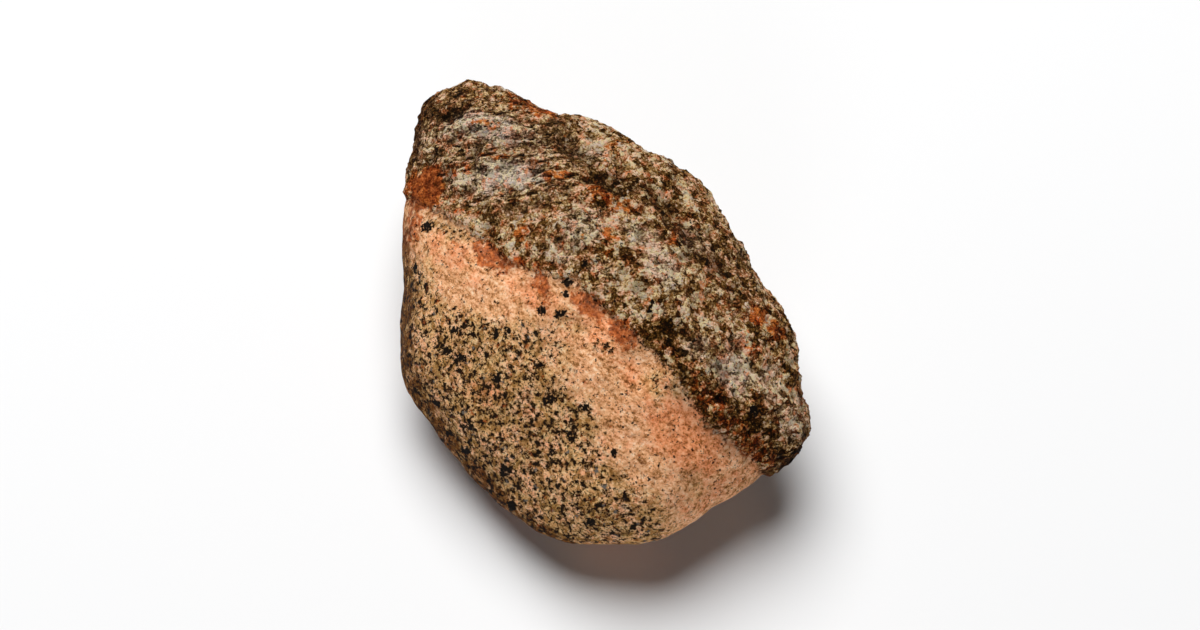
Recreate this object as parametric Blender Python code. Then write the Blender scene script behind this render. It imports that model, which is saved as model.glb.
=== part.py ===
"""Rough rock: a hand-sized stone of dark gneiss with a band of pink granite down one side.

One solid. Lengths are in millimetres until the finished mesh is scaled to metres. +Z is up, the
stone lies on the flat bed at z = 0, and its smooth pink face looks up and towards -X and -Y.
"""

import bmesh
import bpy
from mathutils import Matrix, Vector, noise
from mathutils.bvhtree import BVHTree

MM = 0.001
NAME = "rock"

# Where the corners of the broken block stand before their edges wear round.
# The crest runs from the nose to the toe, above the pink face.
CREST = {
    "crest_nose": (-28, 38, 50),
    "crest_back": (-9, 14, 57),
    "crest_top": (9, -9, 58),
    "crest_front": (31, -26, 47),
    "north_slope": (-1, 29, 54),
    "east_slope": (21, 7, 53),
    "pink_top_left": (-36, 17, 45),
    "pink_top": (-9, -10, 54),
    "pink_top_right": (12, -26, 51),
}
# The brow is where the upper faces turn down into the sides. This level and the ones below it
# start at the nose, at the back left, and go round by the back and the right.
BROW = {
    "brow_nose": (-39, 49, 42),
    "brow_tip": (-31, 57, 42),
    "brow_bump": (1, 39, 49),
    "brow_north": (18, 29, 48),
    "brow_flank": (31, 10, 45),
    "brow_east": (43, -8, 39),
    "brow_toe": (43, -29, 36),
    "brow_south_east": (15, -49, 33),
    "brow_south": (-5, -47, 30),
    "brow_south_west": (-27, -30, 26),
    "brow_west": (-43, -9, 30),
    "brow_west_back": (-43, 22, 39),
}
# The rim is the widest outline of the stone.
RIM = {
    "rim_nose": (-44, 55, 31),
    "rim_tip": (-36, 62, 35),
    "rim_nose_right": (-24, 55, 39),
    "rim_bump": (1, 43, 43),
    "rim_north": (23, 32, 40),
    "rim_flank": (34, 12, 36),
    "rim_east": (47, -6, 31),
    "rim_toe_back": (51, -27, 27),
    "rim_toe": (52, -31, 25),
    "rim_south_east": (14, -54, 22),
    "rim_south": (-3, -54, 18),
    "rim_south_step": (-15, -50, 15),
    "rim_south_west": (-30, -35, 12),
    "rim_west": (-47, -13, 17),
    "rim_west_back": (-47, 29, 29),
}
# Below the foot the sides turn in to the bed that the stone lies on.
FOOT = {
    "foot_nose": (-40, 47, 15),
    "foot_tip": (-29, 54, 20),
    "foot_back": (-12, 46, 11),
    "foot_north": (20, 28, 14),
    "foot_east": (43, -5, 12),
    "foot_toe": (42, -29, 13),
    "foot_south_east": (16, -47, 10),
    "foot_south": (-4, -47, 8),
    "foot_south_west": (-26, -31, 5),
    "foot_west": (-43, -6, 8),
    "foot_west_back": (-43, 22, 11),
    "bed_south_west": (-19, -20, 0),
    "bed_south": (0, -33, 0),
    "bed_south_east": (19, -28, 0),
    "bed_toe": (30, -15, 0),
    "bed_east": (31, 2, 0),
    "bed_north_east": (15, 18, 0),
    "bed_north": (-7, 34, 0),
    "bed_nose": (-28, 32, 0),
    "bed_west": (-33, 5, 0),
}
HEART = Vector((0, 0, 25))

# Skin: an icosphere with each of its edges cut again, the passes that spread its vertices evenly
# over the block, and those that wear the corners round.
SPHERE_LEVEL = 3
EDGE_CUTS = 4
EVEN_PASSES = 12
WEAR_PASSES = 2
BED_DEPTH = 1.0

# The pink granite meets the gneiss on a plane through CONTACT, which faces the gneiss side.
CONTACT = Vector((1, -17, 52))
CONTACT_FACING = Vector((0.60, 0.76, 0.25)).normalized()
CONTACT_SOFT = 6.0

# Hollows worn or chipped into the skin: centre, reach and depth.
HOLLOWS = {
    "rust_scallop_back": ((-25, 10, 49), 9, 1.6),
    "rust_scallop_middle": ((-1, -12, 54), 10, 2.0),
    "rust_scallop_front": ((10, -23, 51), 8, 1.6),
    "nose_valley_left": ((-20, 24, 55), 12, 2.0),
    "nose_valley_right": ((-8, 33, 52), 13, 2.4),
    "north_notch": ((-12, 46, 43), 9, 1.8),
    "north_chip": ((12, 36, 43), 7, 1.2),
    "east_chip": ((38, 9, 36), 9, 1.8),
    "east_dish": ((20, 14, 47), 14, 1.6),
    "toe_dish": ((36, -22, 42), 12, 1.6),
    "toe_edge": ((49, -17, 30), 9, 1.0),
    "toe_notch": ((40, -41, 27), 11, 1.6),
    "west_dish": ((-45, 12, 16), 14, 1.8),
    "under_scoop": ((26, -40, 11), 15, 2.2),
    "back_scoop": ((6, 42, 24), 18, 3.0),
    "back_chip": ((-30, 54, 22), 11, 2.0),
    "east_scoop": ((47, -14, 18), 15, 2.2),
}
# Swellings that stand proud: centre, reach and height.
SWELLINGS = {
    "pink_belly": ((-22, -18, 33), 26, 1.6),
    "pink_front": ((6, -44, 34), 20, 1.0),
    "gneiss_knob": ((-8, 4, 57), 12, 1.2),
    "gneiss_shoulder": ((16, -2, 55), 14, 1.2),
    "nose_lump": ((-33, 44, 44), 14, 1.0),
    "back_lump": ((-18, 48, 26), 14, 1.4),
}

# Relief: wavelength and height of the lumps on each kind of stone.
PINK_LUMPS = ((17, 0.5), (7, 0.2))
GNEISS_LUMPS = ((15, 0.8), (6.5, 0.6))
# Chips are flat patches left by the breaks, each tilted its own way by up to these slopes.
CHIP_SIZE = 12.0
CHIP_TILT_PINK = 0.06
CHIP_TILT_GNEISS = 0.18
TILT_VARIETY = 3.7
# The noise that tilts the chips starts from the clock unless it is given a seed.
NOISE_SEED = 1
# Ledges are low steps along the grain of the gneiss. LEDGE_PHASE picks where they fall.
LEDGE_ALONG = Vector((0.93, -0.36, 0.05)).normalized()
LEDGE_SPACING = 8.0
LEDGE_STRETCH = 0.35
LEDGE_HEIGHT = 0.9
LEDGE_PHASE = Vector((3.1, 7.7, 1.3))
# The relief fades to this share of itself at the bed, over the height above it.
BED_SHARE = 0.25
BED_FADE = 9.0

STONE_COLOUR = (0.30, 0.17, 0.085, 1)
STONE_ROUGHNESS = 0.85


def clear_scene():
    for obj in list(bpy.data.objects):
        bpy.data.objects.remove(obj)


def smoothstep(x):
    x = min(max(x, 0.0), 1.0)
    return x * x * (3 - 2 * x)


def block():
    """The sharp block: the convex hull of all the corners, as a tree to cast rays at."""
    bm = bmesh.new()
    for corner in (*CREST.values(), *BROW.values(), *RIM.values(), *FOOT.values()):
        bm.verts.new(corner)
    bmesh.ops.convex_hull(bm, input=bm.verts)
    tree = BVHTree.FromBMesh(bm)
    bm.free()
    return tree


def cast_skin(bm, tree):
    """Fills bm with a fine icosphere whose vertices are thrown from HEART onto the block."""
    bmesh.ops.create_icosphere(bm, subdivisions=SPHERE_LEVEL, radius=1)
    bmesh.ops.subdivide_edges(bm, edges=bm.edges, cuts=EDGE_CUTS, use_grid_fill=True)
    for vert in bm.verts:
        vert.co = tree.ray_cast(HEART, vert.co.normalized())[0]


def relax(bm):
    bmesh.ops.smooth_vert(
        bm, verts=bm.verts, factor=0.5, use_axis_x=True, use_axis_y=True, use_axis_z=True
    )


def spread_evenly(bm, tree):
    """Slides the vertices over the block until they stand about as far apart everywhere."""
    for _ in range(EVEN_PASSES):
        relax(bm)
        for vert in bm.verts:
            vert.co = tree.find_nearest(vert.co)[0]


def wear(bm):
    for _ in range(WEAR_PASSES):
        relax(bm)
    bm.normal_update()


def gneiss_share(point):
    """0 on the pink granite, 1 on the gneiss."""
    return smoothstep((point - CONTACT).dot(CONTACT_FACING) / CONTACT_SOFT + 0.5)


def bump(point, marks):
    """Sum of the rounded marks, each full at its centre and gone at its reach."""
    total = 0.0
    for centre, reach, height in marks.values():
        near = 1 - (point - Vector(centre)).length / reach
        total += height * smoothstep(near)
    return total


def lumps(point, layers):
    return sum(height * noise.noise(point / wave) for wave, height in layers)


def ledges(point):
    along = point.dot(LEDGE_ALONG)
    squeezed = point - LEDGE_ALONG * along * (1 - LEDGE_STRETCH)
    return LEDGE_HEIGHT * noise.noise(squeezed / LEDGE_SPACING + LEDGE_PHASE)


def chip(point):
    """Height on the tilted patch that the point is on, for a slope of up to 1."""
    middle = noise.voronoi(point / CHIP_SIZE)[1][0]
    lean = noise.noise_vector(middle * TILT_VARIETY)
    return (point - middle * CHIP_SIZE).dot(lean)


def relief(point):
    """How far the skin stands out from the worn block at a point."""
    gneiss = gneiss_share(point)
    flat = chip(point)
    rough = lumps(point, GNEISS_LUMPS) + ledges(point) + CHIP_TILT_GNEISS * flat
    smooth = lumps(point, PINK_LUMPS) + CHIP_TILT_PINK * flat
    marks = bump(point, SWELLINGS) - bump(point, HOLLOWS)
    above_bed = BED_SHARE + (1 - BED_SHARE) * smoothstep(point.z / BED_FADE)
    return above_bed * (gneiss * rough + (1 - gneiss) * smooth + marks)


def roughen(bm):
    for vert, out in [(v, relief(v.co)) for v in bm.verts]:
        vert.co += vert.normal * out


def lay_on_bed(bm):
    """Flattens the underside and stands the stone on it, centred on the origin."""
    for vert in bm.verts:
        vert.co.z = max(vert.co.z - BED_DEPTH, 0)
    xs = [v.co.x for v in bm.verts]
    ys = [v.co.y for v in bm.verts]
    middle = Vector((min(xs) + max(xs), min(ys) + max(ys), 0)) / 2
    bmesh.ops.translate(bm, verts=bm.verts, vec=-middle)


def stone_material():
    material = bpy.data.materials.new("stone")
    material.use_nodes = True
    surface = material.node_tree.nodes["Principled BSDF"]
    surface.inputs["Base Color"].default_value = STONE_COLOUR
    surface.inputs["Roughness"].default_value = STONE_ROUGHNESS
    surface.inputs["Metallic"].default_value = 0
    return material


def rock():
    bm = bmesh.new()
    tree = block()
    cast_skin(bm, tree)
    spread_evenly(bm, tree)
    wear(bm)
    roughen(bm)
    lay_on_bed(bm)
    bmesh.ops.transform(bm, matrix=Matrix.Scale(MM, 4), verts=bm.verts)
    mesh = bpy.data.meshes.new(NAME)
    bm.to_mesh(mesh)
    bm.free()
    mesh.shade_smooth()
    mesh.materials.append(stone_material())
    return bpy.data.objects.new(NAME, mesh)


def main():
    clear_scene()
    noise.seed_set(NOISE_SEED)
    group = bpy.data.collections.new("rough_rock")
    bpy.context.scene.collection.children.link(group)
    group.objects.link(rock())


main()
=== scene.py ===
"""Rough rock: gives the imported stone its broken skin, its grain and colours, and a plain studio.

Lengths are in millimetres inside the classes and in metres on the finished meshes. The kinds of
stone and the stains are laid out on a tilted plane that faces up and forward, with u to the right
and v up its slope, both in millimetres from the frame's origin.
"""

from __future__ import annotations

import logging
import math
from collections.abc import Sequence
from dataclasses import dataclass, field
from enum import Enum
from typing import ClassVar

import bmesh
import bpy
import numpy as np
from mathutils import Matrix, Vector, noise


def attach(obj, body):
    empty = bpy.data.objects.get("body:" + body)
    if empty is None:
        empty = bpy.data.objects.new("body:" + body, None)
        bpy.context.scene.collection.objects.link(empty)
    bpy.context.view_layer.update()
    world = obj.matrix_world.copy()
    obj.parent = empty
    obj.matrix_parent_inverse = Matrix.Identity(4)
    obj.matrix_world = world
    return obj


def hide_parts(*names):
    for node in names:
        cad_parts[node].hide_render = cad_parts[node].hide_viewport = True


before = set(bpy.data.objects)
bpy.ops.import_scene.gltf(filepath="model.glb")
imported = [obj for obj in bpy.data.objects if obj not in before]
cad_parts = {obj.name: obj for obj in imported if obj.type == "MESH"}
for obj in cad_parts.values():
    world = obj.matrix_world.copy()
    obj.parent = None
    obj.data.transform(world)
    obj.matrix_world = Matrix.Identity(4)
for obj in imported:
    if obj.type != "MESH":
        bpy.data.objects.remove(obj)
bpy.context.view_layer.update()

MM = 0.001
# A seed moves the noise by this much along X, Y and Z.
SEED_STEPS = (1.0, 1.7, -0.6)

log = logging.getLogger("rough_rock")

Array = np.ndarray
Colour = tuple[float, float, float, float]
Place = tuple[float, float]
# Where something is 0 and where it is 1, or its value at both ends.
Span = tuple[float, float]


def srgb(red: int, green: int, blue: int) -> Colour:
    """Turns a screen colour into the linear colour that shaders use.

    Args:
        red: Red from 0 to 255.
        green: Green from 0 to 255.
        blue: Blue from 0 to 255.

    Returns:
        The linear colour with full alpha.
    """
    channels = [c / 255 for c in (red, green, blue)]
    linear = [c / 12.92 if c <= 0.04045 else ((c + 0.055) / 1.055) ** 2.4 for c in channels]
    return linear[0], linear[1], linear[2], 1.0


def smoothstep(low: float, high: float, value: Array) -> Array:
    """Eases from 0 at low to 1 at high.

    Args:
        low: Where the result is still 0.
        high: Where the result has reached 1.
        value: The values to ease.

    Returns:
        One eased number for each value.
    """
    x = np.clip((value - low) / (high - low), 0, 1)
    return x * x * (3 - 2 * x)


def noise_field(points: Array, size: float, seed: float) -> Array:
    """Samples smooth noise at every point.

    Args:
        points: Points in millimetres, one row each.
        size: Size of a lump in millimetres.
        seed: Shifts the pattern, so that two fields differ.

    Returns:
        About -1 to 1 for each point.
    """
    shift = Vector([seed * step for step in SEED_STEPS])
    return np.array([noise.noise(Vector(p) / size + shift) for p in points])


class Zone(Enum):
    """The maps painted on the stone's points, by the name of their attribute."""

    CONTACT = "contact"
    RUST = "rust"
    QUARTZ = "quartz"
    DARK = "dark"
    SPECKLE = "speckle"
    BLUSH = "blush"
    FOLIAGE = "foliage"
    CLOT = "clot"
    # Painted shade on the rims and on skin that turns down and away.
    RIM_SHADE = "rim_shade"
    # The relief's height, which paints shade into its hollows and light on its tops.
    RELIEF_SHADE = "relief_shade"


@dataclass(frozen=True)
class LayoutPlane:
    """The plane that the marks are laid out on: it leans back by its tilt.

    The sight says how far the skin faces the plane where the marks set in and where they are full.
    """

    tilt: float = math.radians(25)
    sight: Span = (-0.08, 0.12)

    @property
    def rise(self) -> Array:
        """The direction of v."""
        return np.array((0.0, math.cos(self.tilt), math.sin(self.tilt)))

    @property
    def facing(self) -> Array:
        """The direction that the plane faces."""
        return np.array((0.0, -math.sin(self.tilt), math.cos(self.tilt)))


@dataclass(frozen=True)
class Spot:
    """A soft oval mark: full within its core, and gone a little past its half sizes."""

    CORE: ClassVar[float] = 0.45
    FADE_END: ClassVar[float] = 1.25

    u: float
    v: float
    half_length: float
    half_width: float
    turn: float = 0.0
    strength: float = 1.0

    def cover(self, u: Array, v: Array) -> Array:
        """Says how much of the mark is on each place.

        Args:
            u: Millimetres across.
            v: Millimetres up the slope.

        Returns:
            From 0 to the mark's strength.
        """
        turn = math.radians(self.turn)
        across, rise = u - self.u, v - self.v
        along = (across * math.cos(turn) + rise * math.sin(turn)) / self.half_length
        aside = (rise * math.cos(turn) - across * math.sin(turn)) / self.half_width
        return self.strength * smoothstep(self.FADE_END, self.CORE, np.hypot(along, aside))


@dataclass(frozen=True)
class Line:
    """A soft line through places, full along its core and gone at its half width."""

    CORE: ClassVar[float] = 0.25
    FADE_END: ClassVar[float] = 1.0

    places: tuple[Place, ...]
    half_width: float = 1.0
    strength: float = 1.0

    def distance(self, u: Array, v: Array) -> Array:
        """Measures how far places are from the line.

        Args:
            u: Millimetres across.
            v: Millimetres up the slope.

        Returns:
            Millimetres to the line's nearest point.
        """
        nearest = np.full(u.shape, np.inf)
        for (u0, v0), (u1, v1) in zip(self.places, self.places[1:]):
            run, rise = u1 - u0, v1 - v0
            share = ((u - u0) * run + (v - v0) * rise) / (run * run + rise * rise)
            share = np.clip(share, 0, 1)
            nearest = np.minimum(nearest, np.hypot(u - u0 - share * run, v - v0 - share * rise))
        return nearest

    def cover(self, u: Array, v: Array) -> Array:
        """Says how much of the line is on each place.

        Args:
            u: Millimetres across.
            v: Millimetres up the slope.

        Returns:
            From 0 to the line's strength.
        """
        aside = self.distance(u, v) / self.half_width
        return self.strength * smoothstep(self.FADE_END, self.CORE, aside)

    def above(self, u: Array, v: Array) -> Array:
        """Measures how far up the slope places are from a line that runs to the right.

        Args:
            u: Millimetres across.
            v: Millimetres up the slope.

        Returns:
            The distance to the line, negative below it.
        """
        us, vs = zip(*self.places)
        return np.where(v > np.interp(u, us, vs), 1.0, -1.0) * self.distance(u, v)


Mark = Spot | Line

# The crease that runs from the nose down to the right across the gneiss: the skin is cut in along it, and
# painted shade darkens it.
CREASE: tuple[Place, ...] = (
    (-11, 55), (-7.5, 48.5), (-2.5, 43), (5.5, 39.5), (13.5, 36), (22, 26), (31.5, 15.5),
)


@dataclass(frozen=True)
class StoneLayout:
    """Where each kind of stone and each stain lies on the side that faces the plane.

    The gneiss lies above the contact, and most of the specks below the speckle edge. Sparse marks
    thin those specks out. Skin that faces down, left and forward gets painted shade, as the rims do,
    and the wide and the tight noise fray that shade by the two shares of its waver.
    """

    contact: Line = Line(
        (
            (-72, 57), (-46.5, 38), (-41, 35.5), (-36, 33), (-31, 30), (-28, 27.5), (-22.5, 23.5),
            (-17.5, 21), (-10.5, 18.5), (-6.5, 18.5), (-0.5, 12.5), (5.5, 7), (11, 2), (14.5, -1.5),
            (19.5, -8.5), (23, -14.5), (28.5, -18), (34, -22), (37, -26.5), (51, -45),
        ),
    )
    speckle_edge: Line = Line(
        (
            (-71, 30.5), (-45.5, 24.5), (-40.5, 21), (-35, 12.5), (-27, 9.5), (-19, 9), (-11.5, 7),
            (-8, 0.5), (-6.5, -5.5), (-1.5, -12), (0.5, -20), (4, -25), (10, -30), (14.5, -36), (35, -62),
        ),
    )
    speckle_onset: Span = (2.5, -3.0)
    rust: tuple[Mark, ...] = (
        Spot(-41.5, 39.5, 7, 4, 70, 1.5),
        Spot(-44.5, 30.5, 6, 3, 80, 0.75),
        Spot(-25.5, 23.5, 6.5, 2.8, -36, 1.0),
        Spot(-14, 17, 5, 2, -58, 0.9),
        Spot(-3.5, 12.5, 6, 3, -50, 1.1),
        Spot(3.5, 6.2, 5.5, 2.6, -38, 1.1),
        Spot(-19.5, 22, 1.5, 1.5, 0, 0.9),
        Spot(-12.5, 12.5, 2, 1, -80, 0.7),
        Spot(-16, 58.5, 7, 2.5, -22, 0.8),
        Spot(-27, 54.5, 3.5, 1.5, -10, 0.55),
        Spot(-23.5, 47, 5, 1.2, 8, 0.6),
        Spot(-12, 42, 6, 1.2, 12, 0.6),
        Spot(-34, 44, 3.5, 1.2, 0, 0.5),
        Spot(0, 37.5, 3.5, 2.5, -30, 0.75),
        Spot(4, 34.5, 3.5, 2, -40, 0.7),
        Spot(1.5, 26.5, 2, 3.5, 0, 0.6),
        Spot(15.5, 27, 3, 2, 30, 0.6),
        Spot(-18.5, 29, 3, 3.5, 20, 0.55),
        Spot(3, 49, 3, 2, 0, 0.5),
        Spot(35.5, 10, 3.5, 2, -30, 0.85),
        Spot(39.5, 6, 3.5, 2.5, -60, 0.8),
        Spot(32.5, 3, 3.5, 2, 0, 0.6),
        Line(((22, -7.5), (27.5, -13), (33, -18), (37.5, -23)), 4.0, 0.6),
        Spot(-9.5, 28, 2.5, 3, 0, 0.35),
        Spot(-30.5, 34.5, 4.5, 1.5, -10, 0.4),
    )
    quartz: tuple[Mark, ...] = (
        Spot(-27, 54, 7.5, 4, -14, 1.2),
        Spot(-35, 53, 4, 3, 0, 0.45),
        Spot(-22.5, 42.5, 9, 4, 6, 1.25),
        Spot(-32.5, 42, 5, 2, 0, 0.5),
        Spot(-19, 51, 3.5, 2, 0, 0.4),
        Spot(-4.5, 30.5, 6, 5, -20, 0.7),
        Spot(-9.5, 25, 4, 3.5, -40, 0.5),
        Spot(9, 28, 6, 3.5, -35, 0.65),
        Spot(13.5, 21, 5.5, 3.5, -50, 0.8),
        Spot(19.5, 27.5, 5, 3.5, -40, 0.35),
        Spot(-1.5, 47, 5, 2, -20, 0.45),
        Spot(21.5, 3.5, 4.5, 3, 20, 0.55),
        Spot(29.5, -2.5, 5.5, 4, -30, 0.9),
        Spot(30.5, 4, 3.5, 2, 30, 0.5),
        Spot(38, -5.5, 4, 5.5, 10, 0.5),
        Spot(13, 11, 1.5, 1.5, 0, 1.0),
        Spot(-0.5, 20.5, 3.5, 2.5, -30, 0.4),
        Spot(43, -12.5, 4, 6, 0, 0.4),
    )
    dark: tuple[Mark, ...] = (
        # Painted shade along the crease.
        Line(CREASE, 5, 0.55),
        Line(((-46, 57.5), (-43, 63), (-33, 64), (-20.5, 61), (-12, 58)), 3, 0.6),
        Spot(-40, 43.5, 7, 2, 75, 0.7),
        Spot(-36, 58.5, 9, 5, 25, 1.0),
        Spot(-19, 35.5, 9.5, 2.5, 4, 0.4),
        Spot(15, 5.5, 9, 3.6, -6, 1.7),
        Line(((16, 1), (20, -5), (24.5, -11.5)), 5.0, 1.0),
        Spot(4, 13.5, 5.5, 2, -40, 0.45),
        Spot(41.5, 9.5, 5, 3, -65, 0.85),
        Line(((27.5, -8), (32.5, -13), (37, -18.5), (42, -22.5)), 6.0, 1.4),
        Spot(-10, 38.5, 5, 2, -10, 0.45),
        Spot(22.5, 39, 6, 2, -50, 0.45),
        Spot(44, 13.5, 4.5, 1.5, -60, 0.5),
        Spot(10.5, 10, 2.5, 3, 0, 0.5),
        Spot(30, 21, 13, 7, -58, 0.6),
    )
    speckle: tuple[Mark, ...] = (
        Spot(-36, 29, 6, 2.5, -20, 0.85),
        Spot(0, 2.5, 3, 2.5, 0, 0.95),
        Spot(13.5, -6, 5.5, 3, -40, 0.7),
        Spot(-8.5, 8.5, 4, 3, -60, 0.7),
        Spot(22, -29.5, 8, 2, 25, 0.35),
        Spot(-41.5, 22.5, 4, 3.5, 0, 0.5),
        Spot(9.5, -32.5, 6, 4, 20, 0.55),
    )
    sparse: tuple[Mark, ...] = (
        Spot(-30.5, 16, 7.5, 5, -30, 0.55),
        Spot(-9.5, -2.5, 9.5, 2.5, -60, 0.4),
    )
    blush: tuple[Mark, ...] = (
        Spot(19.5, -18, 12, 8, -38, 1.0),
        Spot(-34.5, 22.5, 10, 4, -36, 0.5),
        Spot(-14, 13.5, 10.5, 4, -34, 0.5),
        Spot(8, -4.5, 9.5, 4.5, -40, 0.6),
        Spot(26.5, -29.5, 14, 3.5, 24, 0.5),
        Spot(-0.5, 5.5, 6, 3.5, -40, 0.6),
        Spot(-28, -8, 5.5, 3.5, 0, 0.55),
    )
    foliage: tuple[Mark, ...] = (Spot(-26, 48, 24.5, 14.5, -12, 1.0),)
    # Painted shade along the left edge, the nose's edge and the toe, where the skin turns away.
    shaded_rims: tuple[Line, ...] = (
        Line(((-41, 60.5), (-44, 56.6), (-44.5, 51.7), (-45.5, 46.5)), 3.2, 1.1),
        Line(
            (
                (-47, 28), (-46.5, 14), (-46.8, 4), (-46.5, -3), (-44, -8), (-39.5, -14.5),
                (-35, -20), (-29, -27.5), (-23, -34), (-16.5, -39.5), (-9.5, -43),
            ),
            4.5,
            1.05,
        ),
        Line(((49, -15.5), (48, -18.5), (43.5, -23), (38, -26.5)), 3.4, 1.0),
    )
    clots: tuple[Mark, ...] = (
        Spot(-8, 17.5, 1.6, 1.2, 40),
        Spot(-8.5, 15, 1.2, 0.9, 0),
        Spot(-14, 11.5, 1.1, 1.4, 0),
        Spot(-9.5, 10.5, 1.7, 1.2, 25),
        Spot(-41, 30.5, 1.6, 1.4, 0),
        Spot(-43.5, 21, 1.0, 1.4, 0),
        Spot(-34, 7, 1.4, 1.0, 20),
        Spot(-24.5, 6, 1.0, 1.4, 0),
        Spot(-21.5, 7, 1.0, 1.4, 20),
        Spot(-36, 2, 1.8, 1.2, -10),
        Spot(-32.5, 0.5, 1.8, 1.0, -20),
        Spot(-24, -4, 1.6, 1.4, 0),
        Spot(-38.5, -10, 1.6, 1.0, -40),
        Spot(-12, -9, 1.8, 1.2, -10),
        Spot(-7, -17.5, 1.4, 1.8, 20),
        Spot(-12, -21, 1.2, 1.2, 0),
        Spot(-31.5, -21, 1.2, 1.0, 0),
        Spot(-22.5, -25.5, 1.8, 1.6, 20),
        Spot(-4.5, -10.5, 1.6, 1.1, 0),
        Spot(2.5, -20.5, 1.0, 1.4, 0),
        Spot(-3, -36.5, 1.4, 1.1, 0),
        Spot(-21, -33.5, 1.6, 1.2, -40),
        Spot(-30.5, -15, 1.4, 1.8, 40),
        Spot(-4, 22, 1.0, 1.2, 0),
        Spot(10.9, 12, 0.6, 2.0, 0),
        Spot(34, -11.5, 1.4, 1.8, 20),
    )
    # Painted shade on skin that faces down, left and forward: that direction, its onset and its waver.
    shade_facing: tuple[float, float, float] = (-0.88, -0.36, -0.30)
    shade_onset: Span = (0.55, 1.0)
    shade_waver: tuple[float, float] = (0.15, 0.10)


@dataclass(frozen=True)
class Patches:
    """Patches of one mark: the noise from which they set in, and the seed of that noise.

    The noise goes from about -1 to 1, so patches with a high start are rare.
    """

    start: float
    seed: float


@dataclass(frozen=True)
class HiddenLayout:
    """What lies on the sides that the photo doesn't show, and the strip of granite at the right.

    Onset is how far past its start a patch is full, and patch is the size of the noise. Skin in the
    strip counts as lying strip_below millimetres under the contact.
    """

    rust: Patches = Patches(0.06, 11)
    quartz: Patches = Patches(-0.35, 16)
    dark: Patches = Patches(-0.35, 21)
    speckle: Patches = Patches(-0.7, 31)
    blush: Patches = Patches(-0.3, 36)
    foliage: Patches = Patches(-0.4, 41)
    onset: float = 0.7
    patch: float = 15.0
    strip_centre: tuple[float, float, float] = (50.5, -9.0, 22.0)
    strip_reach: float = 8.0
    strip_fade: float = 5.0
    strip_waver: float = 3.0
    strip_below: float = 3.0


@dataclass(frozen=True)
class Waver:
    """How the marks' edges wander: a wide and a tight noise, and how far each moves an edge.

    Still marks, such as the contact and the clots, are moved by the tight one alone.
    """

    wide_size: float = 9.0
    wide_seeds: tuple[float, float] = (3.1, 8.4)
    wide_reach: float = 1.6
    tight_size: float = 3.2
    tight_seeds: tuple[float, float] = (5.7, 1.9)
    tight_reach: float = 1.2
    still_reach: float = 0.7


@dataclass(frozen=True)
class Relief:
    """The broken surface's lumps as pairs of size and height, and its few marks.

    The gneiss has sharp ridges where its noise is 0. One relief passes into the other over the
    change, crease and rib set in with height above the bed, and only a share of it all is left at
    the bed.
    """

    gneiss: tuple[tuple[float, float], ...] = ((5.5, 0.8), (2.8, 0.65), (1.6, 0.5))
    gneiss_seed: int = 20
    ridge_top: float = 0.36
    ridge_fall: float = 1.6
    granite: tuple[tuple[float, float], ...] = ((6.0, 0.30), (2.4, 0.16), (1.4, 0.10))
    granite_seed: int = 40
    seed_step: int = 3
    change: Span = (-1.0, 1.5)
    foliage_size: float = 2.2
    foliage_height: float = 0.8
    foliage_stretch: float = 0.28
    foliage_seed: int = 60
    ledge: float = 1.0
    ledge_reach: float = 7.0
    ledge_rise: Span = (-0.4, 1.2)
    crease: Line = Line(CREASE, 3.5, 0.6)
    rib: Line = Line(((-19, 40), (-14.5, 42), (-9.5, 44.5), (-6, 46.5)), 1.5, 0.6)
    marks_above: Span = (15, 25)
    bed_share: float = 0.3
    bed_fade: float = 4.0


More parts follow.
